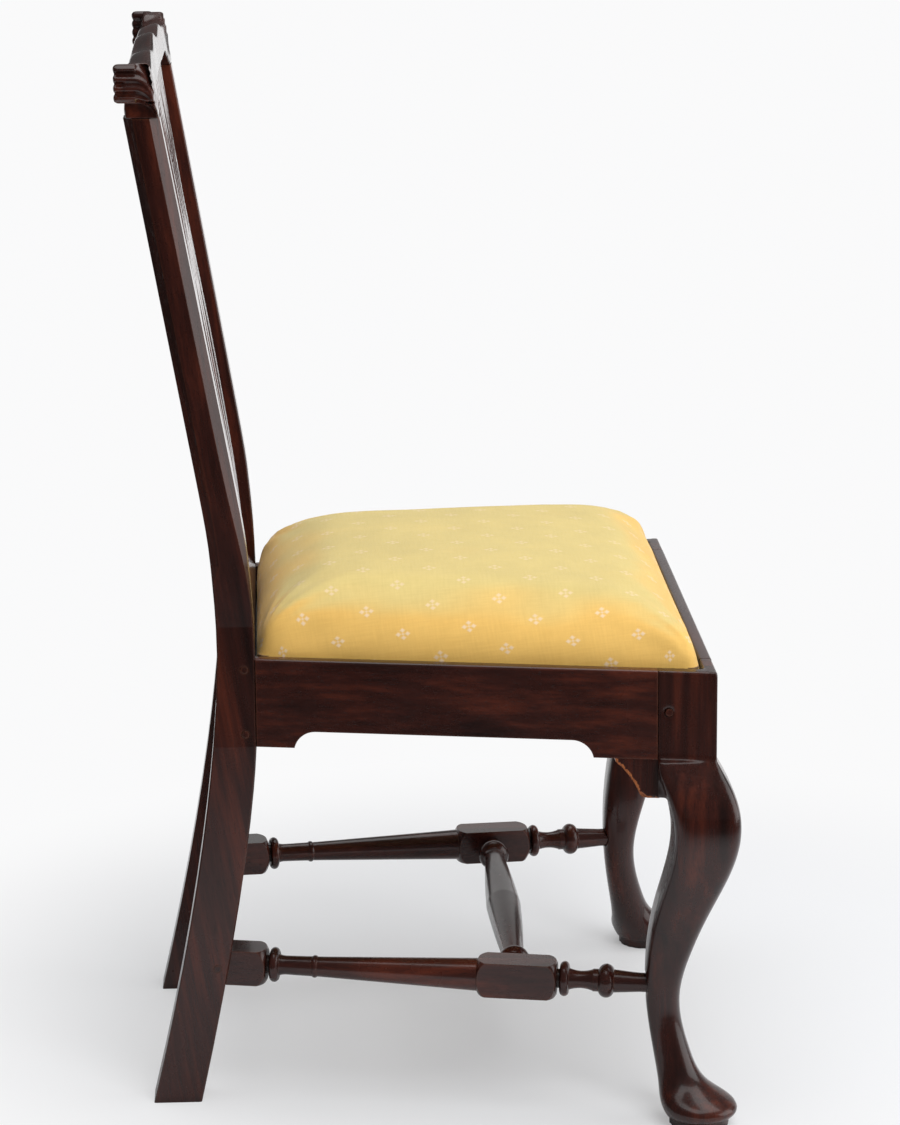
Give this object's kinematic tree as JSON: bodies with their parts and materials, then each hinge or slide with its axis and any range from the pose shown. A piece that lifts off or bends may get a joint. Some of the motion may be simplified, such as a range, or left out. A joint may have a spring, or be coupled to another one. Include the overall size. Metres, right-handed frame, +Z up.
{
  "type": "side chair with slip seat",
  "caption": "Carved mahogany dining side chair with cabriole front legs, pad feet, turned H-stretcher, pierced splat, serpentine crest and lift-out upholstered slip seat.",
  "frame": {"origin": "on the floor, midway between the feet: bottom centre of the chair's box", "axes": "+Z up, the chair faces -Y, its own left side is +X"},
  "size_m": [0.5764, 0.5406, 0.967],
  "materials": {
    "mahogany": "dark red-brown mahogany under a worn shellac polish",
    "secondary_wood": "plain sawn pine or maple, unpolished",
    "peg_wood": "riven hardwood pegs, stained with the frame",
    "seat_fabric": "fine yellow woven fabric with small pale diamond sprigs",
    "stuffing": "curled hair stuffing",
    "sackcloth": "coarse linen sackcloth",
    "webbing": "woven flax girth webbing",
    "tack_iron": "dark wrought upholstery tacks"
  },
  "bodies": {
    "chair_frame": {"corner_block_front_left": "secondary_wood", "corner_block_front_right": "secondary_wood", "corner_block_rear_left": "secondary_wood", "corner_block_rear_right": "secondary_wood", "crest_rail": "mahogany", "front_leg_left": "mahogany", "front_leg_right": "mahogany", "front_seat_rail": "mahogany", "knee_bracket_front_left": "mahogany", "knee_bracket_front_right": "mahogany", "knee_bracket_side_left": "mahogany", "knee_bracket_side_right": "mahogany", "medial_stretcher": "mahogany", "post_joint_pegs": "peg_wood", "rear_seat_rail": "mahogany", "rear_stile_left": "mahogany", "rear_stile_right": "mahogany", "rear_stretcher": "mahogany", "side_seat_rail_left": "mahogany", "side_seat_rail_right": "mahogany", "side_stretcher_left": "mahogany", "side_stretcher_right": "mahogany", "splat": "mahogany", "splat_shoe": "mahogany", "stile_joint_pegs": "peg_wood", "stretcher_joint_pegs": "peg_wood"},
    "slip_seat": {"cover_tacks": "tack_iron", "seat_cover": "seat_fabric", "seat_frame_front": "secondary_wood", "seat_frame_left": "secondary_wood", "seat_frame_rear": "secondary_wood", "seat_frame_right": "secondary_wood", "seat_sackcloth": "sackcloth", "seat_stuffing": "stuffing", "seat_webbing_cross": "webbing", "seat_webbing_long": "webbing"}
  },
  "joints": [
    {"name": "slip_seat_lift", "type": "slide", "parent": "chair_frame", "child": "slip_seat", "axis": [0, 0, 1], "range_m": [0, 0.15]}
  ]
}
